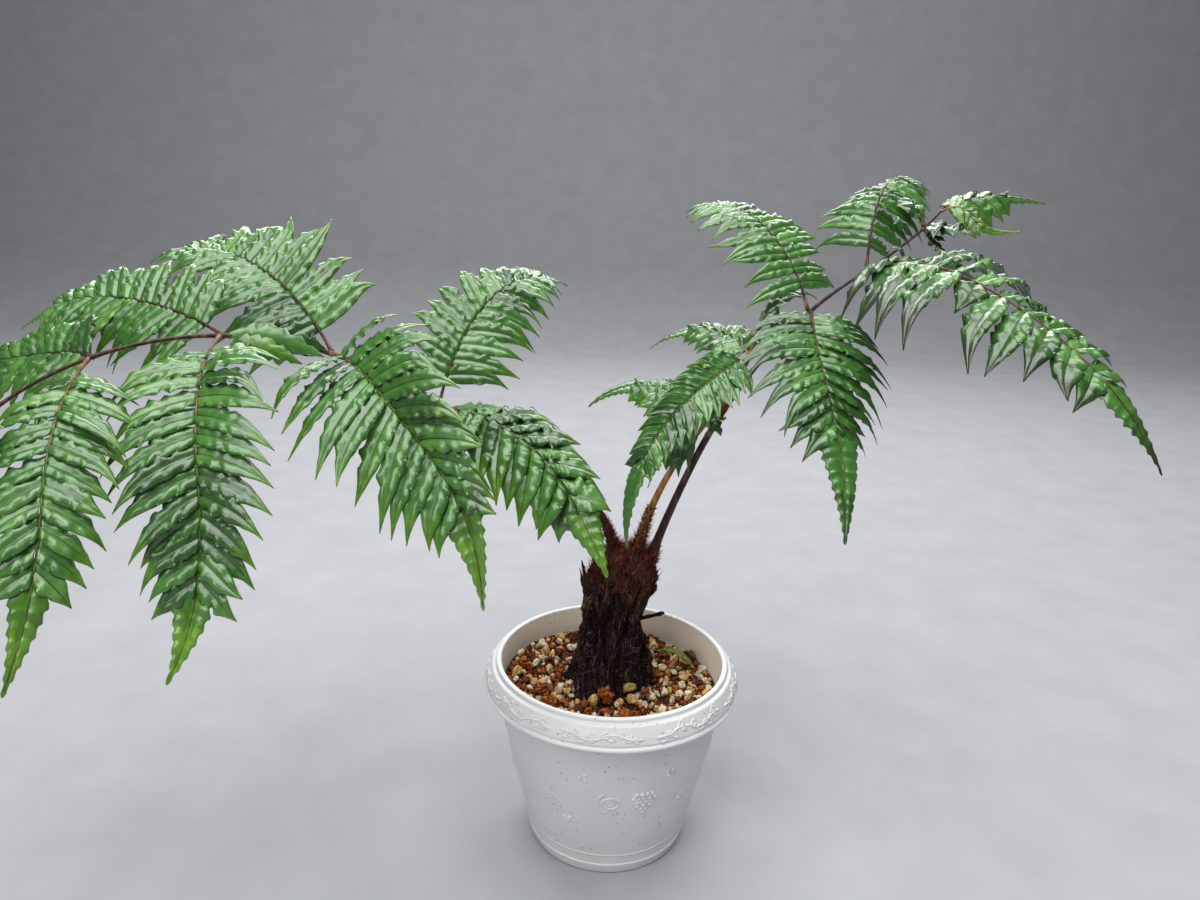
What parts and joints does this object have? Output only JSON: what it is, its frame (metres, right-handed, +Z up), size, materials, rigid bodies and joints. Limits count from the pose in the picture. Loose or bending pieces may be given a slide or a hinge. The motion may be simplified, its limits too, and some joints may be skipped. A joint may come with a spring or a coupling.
{
  "type": "potted tree fern",
  "caption": "Young tree fern in a tapered plastic pot: short fibrous trunk, filling of granules, and arching feathered fronds with leafy side blades.",
  "frame": {"origin": "middle of the flat underside of the pot", "axes": "+Z up; -Y towards the side that a front view shows, so that the longest frond arches towards -X and -Y and the next towards +X"},
  "size_m": [0.9153, 0.5058, 0.6136],
  "materials": {
    "pot": "white moulded plastic with a faint sheen and embossed vine ornament, lightly soiled",
    "granules": "loose granules of fired clay and pale pumice, matte",
    "trunk": "matted dark brown root fibres, dull",
    "stalk": "smooth stalk, dark red-brown to golden brown, satin",
    "leaf": "glossy crinkled green leaf with yellow-green tips"
  },
  "bodies": {
    "root": {"pot": "pot", "soil": "granules", "trunk": "trunk", "left_stalk_1": "stalk", "left_stalk_2": "stalk", "left_stalk_3": "stalk", "middle_stalk_1": "stalk", "right_stalk_1": "stalk", "right_stalk_2": "stalk", "left_pinna_back_1": "leaf", "left_pinna_front_1": "leaf", "left_pinna_back_2": "leaf", "left_pinna_front_2": "leaf", "left_pinna_back_3": "leaf", "left_pinna_front_3": "leaf", "left_pinna_back_4": "leaf", "left_pinna_front_4": "leaf", "left_pinna_back_5": "leaf", "left_pinna_front_5": "leaf", "left_pinna_end": "leaf", "middle_pinna_back_1": "leaf", "middle_pinna_front_1": "leaf", "middle_pinna_front_2": "leaf", "middle_pinna_back_2": "leaf", "middle_pinna_end": "leaf", "right_pinna_back_1": "leaf", "right_pinna_front_1": "leaf", "right_pinna_back_2": "leaf", "right_pinna_front_2": "leaf", "right_pinna_back_3": "leaf", "right_pinna_front_3": "leaf", "right_pinna_front_4": "leaf", "right_pinna_end": "leaf"}
  },
  "joints": []
}
